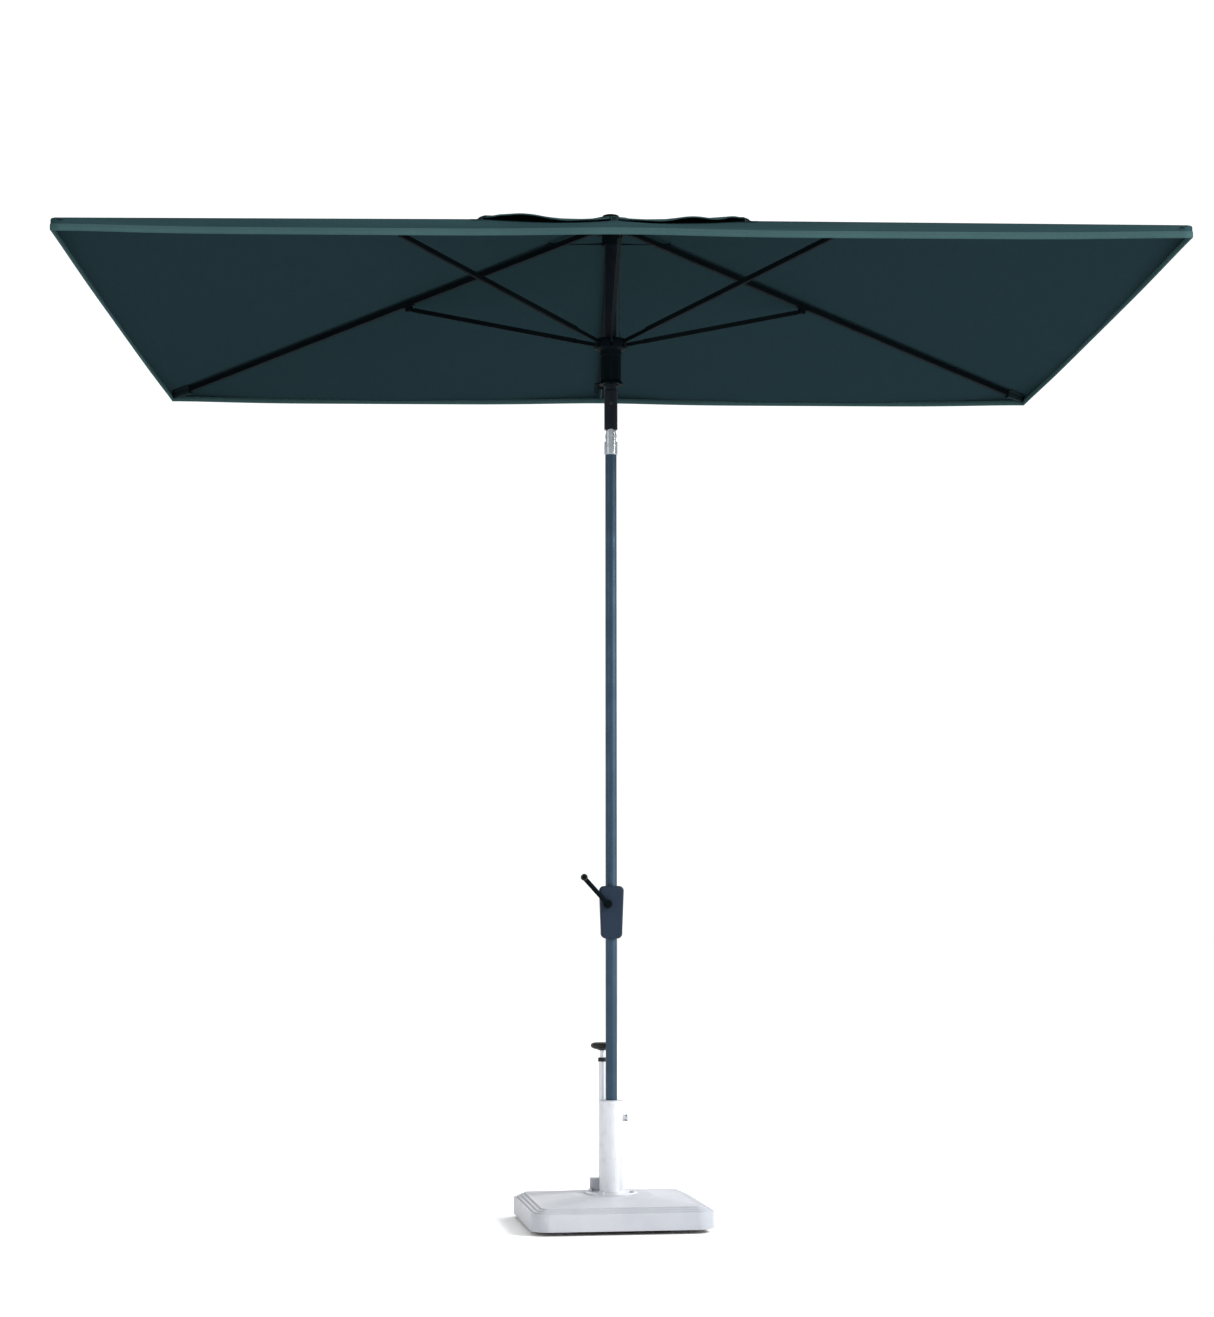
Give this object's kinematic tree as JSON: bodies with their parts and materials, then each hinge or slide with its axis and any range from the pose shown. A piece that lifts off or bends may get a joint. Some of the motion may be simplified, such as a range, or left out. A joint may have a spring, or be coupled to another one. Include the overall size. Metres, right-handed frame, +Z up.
{
  "type": "patio umbrella with base",
  "caption": "Rectangular crank-lift patio umbrella with a folding ribbed canopy, vent cap, tilting pole and a weighted square base with a clamp sleeve.",
  "frame": {"origin": "on the ground under the pole's axis", "axes": "+X along the canopy's long side, -Y towards the crank side, +Z up along the pole"},
  "size_m": [2.5, 2, 2.5565],
  "materials": {
    "canopy_cloth": "woven polyester, dark green, matt",
    "frame_paint": "slate powder coat, satin",
    "pole_paint": "slate blue-grey powder coat, satin",
    "dark_plastic": "dark slate moulded plastic",
    "case_plastic": "blue-grey moulded plastic",
    "black_plastic": "black grip plastic",
    "chrome_joint": "polished die casting",
    "bright_steel": "zinc plated steel",
    "sleeve_steel": "light galvanised steel",
    "light_plastic": "light grey moulded shell",
    "foot_rubber": "grey rubber",
    "wheel_plastic": "dark wheel",
    "concrete": "cast concrete",
    "line_cord": "braided polyester line",
    "nylon": "natural nylon"
  },
  "bodies": {
    "base": {"base_shell": "light_plastic", "base_ballast": "concrete", "base_feet": "foot_rubber", "wheel_axles": "bright_steel", "base_sleeve": "sleeve_steel", "sleeve_collar": "sleeve_steel", "sleeve_bushes": "dark_plastic", "flange_bolts": "bright_steel", "handle_tube": "sleeve_steel", "handle_ring": "black_plastic", "handle_bracket": "foot_rubber"},
    "clamp": {"clamp_screw": "bright_steel"},
    "pull_handle": {"handle_rod": "sleeve_steel", "handle_grip": "black_plastic"},
    "left_wheel": {"wheel_left": "wheel_plastic"},
    "right_wheel": {"wheel_right": "wheel_plastic"},
    "lower_mast": {"lower_pole": "pole_paint", "pole_foot_plug": "dark_plastic", "middle_pole": "pole_paint", "crank_case_front": "case_plastic", "crank_case_rear": "case_plastic", "case_screws": "bright_steel", "crank_bushes": "nylon", "tilt_fork": "chrome_joint", "tilt_rivets": "bright_steel", "lift_line_lower": "line_cord"},
    "crank": {"crank_drum": "bright_steel", "crank_arm": "frame_paint"},
    "crank_knob": {"crank_grip": "black_plastic"},
    "top_mast": {"upper_pole": "pole_paint", "tilt_head": "frame_paint", "button_spring": "bright_steel", "top_hub": "dark_plastic", "hub_pins": "bright_steel", "pulley_pin": "bright_steel", "finial": "dark_plastic", "lift_line_upper": "line_cord"},
    "button": {"tilt_button": "black_plastic"},
    "line_pulley": {"pulley": "nylon"},
    "runner": {"runner": "dark_plastic", "runner_pins": "bright_steel", "lift_line_fall": "line_cord"},
    "rib_right_rear": {"rib_right_rear": "frame_paint", "canopy_right_rear": "canopy_cloth"},
    "stay_right_rear": {"stay_right_rear": "frame_paint"},
    "rib_mid_rear": {"rib_mid_rear": "frame_paint", "canopy_mid_rear": "canopy_cloth"},
    "stay_mid_rear": {"stay_mid_rear": "frame_paint"},
    "rib_left_rear": {"rib_left_rear": "frame_paint", "canopy_left_rear": "canopy_cloth"},
    "stay_left_rear": {"stay_left_rear": "frame_paint"},
    "rib_left_front": {"rib_left_front": "frame_paint", "canopy_left_front": "canopy_cloth"},
    "stay_left_front": {"stay_left_front": "frame_paint"},
    "rib_mid_front": {"rib_mid_front": "frame_paint", "canopy_mid_front": "canopy_cloth"},
    "stay_mid_front": {"stay_mid_front": "frame_paint"},
    "rib_right_front": {"rib_right_front": "frame_paint", "canopy_right_front": "canopy_cloth"},
    "stay_right_front": {"stay_right_front": "frame_paint"}
  },
  "joints": [
    {"name": "pole_lift", "type": "slide", "parent": "base", "child": "lower_mast", "axis": [0, 0, 1], "range_m": [0, 0.24]},
    {"name": "clamp_turn", "type": "hinge", "parent": "base", "child": "clamp", "pos_m": [0.03, 0, 0.262], "axis": [1, 0, 0], "continuous": true},
    {"name": "handle_pull", "type": "slide", "parent": "base", "child": "pull_handle", "axis": [0, 0, 1], "range_m": [0, 0.22]},
    {"name": "left_wheel_spin", "type": "hinge", "parent": "base", "child": "left_wheel", "pos_m": [-0.20317, 0.18991, 0.022], "axis": [0.9934, 0.1149, 0], "continuous": true},
    {"name": "right_wheel_spin", "type": "hinge", "parent": "base", "child": "right_wheel", "pos_m": [0.15444, 0.23128, 0.022], "axis": [0.9934, 0.1149, 0], "continuous": true},
    {"name": "tilt", "type": "hinge", "parent": "lower_mast", "child": "top_mast", "pos_m": [0, 0, 1.981], "axis": [0, 1, 0], "range_deg": [-30, 0]},
    {"name": "button_press", "type": "slide", "parent": "top_mast", "child": "button", "axis": [0, 1, 0], "range_m": [0, 0.0025], "stiffness_N_per_m": 300, "deforming": ["button_spring"]},
    {"name": "canopy_fold", "type": "slide", "parent": "top_mast", "child": "runner", "axis": [0, 0, -1], "range_m": [0, 1.03], "deforming": ["canopy_right_rear", "canopy_mid_rear", "canopy_left_rear", "canopy_left_front", "canopy_mid_front", "canopy_right_front"]},
    {"name": "crank_turn", "type": "hinge", "parent": "lower_mast", "child": "crank", "pos_m": [-0.01025, 0, 0.793], "axis": [0, -1, 0], "range_deg": [0, 5760]},
    {"name": "crank_knob_spin", "type": "hinge", "parent": "crank", "child": "crank_knob", "pos_m": [-0.0698, -0.08, 0.85914], "axis": [0, 1, 0], "continuous": true},
    {"name": "pulley_spin", "type": "hinge", "parent": "top_mast", "child": "line_pulley", "pos_m": [0.01125, 0, 2.512], "axis": [0, 1, 0], "range_deg": [0, 5246]},
    {"name": "rib_fold_right_rear", "type": "hinge", "parent": "top_mast", "child": "rib_right_rear", "pos_m": [0.02733, 0.02186, 2.525], "axis": [-0.6247, 0.7809, 0], "range_deg": [0, 76.49]},
    {"name": "stay_fold_right_rear", "type": "hinge", "parent": "rib_right_rear", "child": "stay_right_rear", "pos_m": [0.53536, 0.42829, 2.40311], "axis": [-0.6247, 0.7809, 0], "range_deg": [-148.12, 0]},
    {"name": "rib_fold_mid_rear", "type": "hinge", "parent": "top_mast", "child": "rib_mid_rear", "pos_m": [0, 0.035, 2.525], "axis": [-1, 0, 0], "range_deg": [0, 71.09]},
    {"name": "stay_fold_mid_rear", "type": "hinge", "parent": "rib_mid_rear", "child": "stay_mid_rear", "pos_m": [0, 0.68547, 2.33874], "axis": [-1, 0, 0], "range_deg": [-147.97, 0]},
    {"name": "rib_fold_left_rear", "type": "hinge", "parent": "top_mast", "child": "rib_left_rear", "pos_m": [-0.02733, 0.02186, 2.525], "axis": [-0.6247, -0.7809, 0], "range_deg": [0, 76.49]},
    {"name": "stay_fold_left_rear", "type": "hinge", "parent": "rib_left_rear", "child": "stay_left_rear", "pos_m": [-0.53536, 0.42829, 2.40311], "axis": [-0.6247, -0.7809, 0], "range_deg": [-148.12, 0]},
    {"name": "rib_fold_left_front", "type": "hinge", "parent": "top_mast", "child": "rib_left_front", "pos_m": [-0.02733, -0.02186, 2.525], "axis": [0.6247, -0.7809, 0], "range_deg": [0, 76.49]},
    {"name": "stay_fold_left_front", "type": "hinge", "parent": "rib_left_front", "child": "stay_left_front", "pos_m": [-0.53536, -0.42829, 2.40311], "axis": [0.6247, -0.7809, 0], "range_deg": [-148.12, 0]},
    {"name": "rib_fold_mid_front", "type": "hinge", "parent": "top_mast", "child": "rib_mid_front", "pos_m": [0, -0.035, 2.525], "axis": [1, 0, 0], "range_deg": [0, 71.09]},
    {"name": "stay_fold_mid_front", "type": "hinge", "parent": "rib_mid_front", "child": "stay_mid_front", "pos_m": [0, -0.68547, 2.33874], "axis": [1, 0, 0], "range_deg": [-147.97, 0]},
    {"name": "rib_fold_right_front", "type": "hinge", "parent": "top_mast", "child": "rib_right_front", "pos_m": [0.02733, -0.02186, 2.525], "axis": [0.6247, 0.7809, 0], "range_deg": [0, 76.49]},
    {"name": "stay_fold_right_front", "type": "hinge", "parent": "rib_right_front", "child": "stay_right_front", "pos_m": [0.53536, -0.42829, 2.40311], "axis": [0.6247, 0.7809, 0], "range_deg": [-148.12, 0]}
  ],
  "couplings": [
    {"joint": "crank_turn", "follows": "canopy_fold", "rad_per_m": 97.603},
    {"joint": "pulley_spin", "follows": "canopy_fold", "rad_per_m": 88.889},
    {"joint": "rib_fold_right_rear", "follows": "canopy_fold", "rad_per_m": 1.2961},
    {"joint": "stay_fold_right_rear", "follows": "canopy_fold", "rad_per_m": -2.5099},
    {"joint": "rib_fold_mid_rear", "follows": "canopy_fold", "rad_per_m": 1.2046},
    {"joint": "stay_fold_mid_rear", "follows": "canopy_fold", "rad_per_m": -2.5073},
    {"joint": "rib_fold_left_rear", "follows": "canopy_fold", "rad_per_m": 1.2961},
    {"joint": "stay_fold_left_rear", "follows": "canopy_fold", "rad_per_m": -2.5099},
    {"joint": "rib_fold_left_front", "follows": "canopy_fold", "rad_per_m": 1.2961},
    {"joint": "stay_fold_left_front", "follows": "canopy_fold", "rad_per_m": -2.5099},
    {"joint": "rib_fold_mid_front", "follows": "canopy_fold", "rad_per_m": 1.2046},
    {"joint": "stay_fold_mid_front", "follows": "canopy_fold", "rad_per_m": -2.5073},
    {"joint": "rib_fold_right_front", "follows": "canopy_fold", "rad_per_m": 1.2961},
    {"joint": "stay_fold_right_front", "follows": "canopy_fold", "rad_per_m": -2.5099}
  ]
}
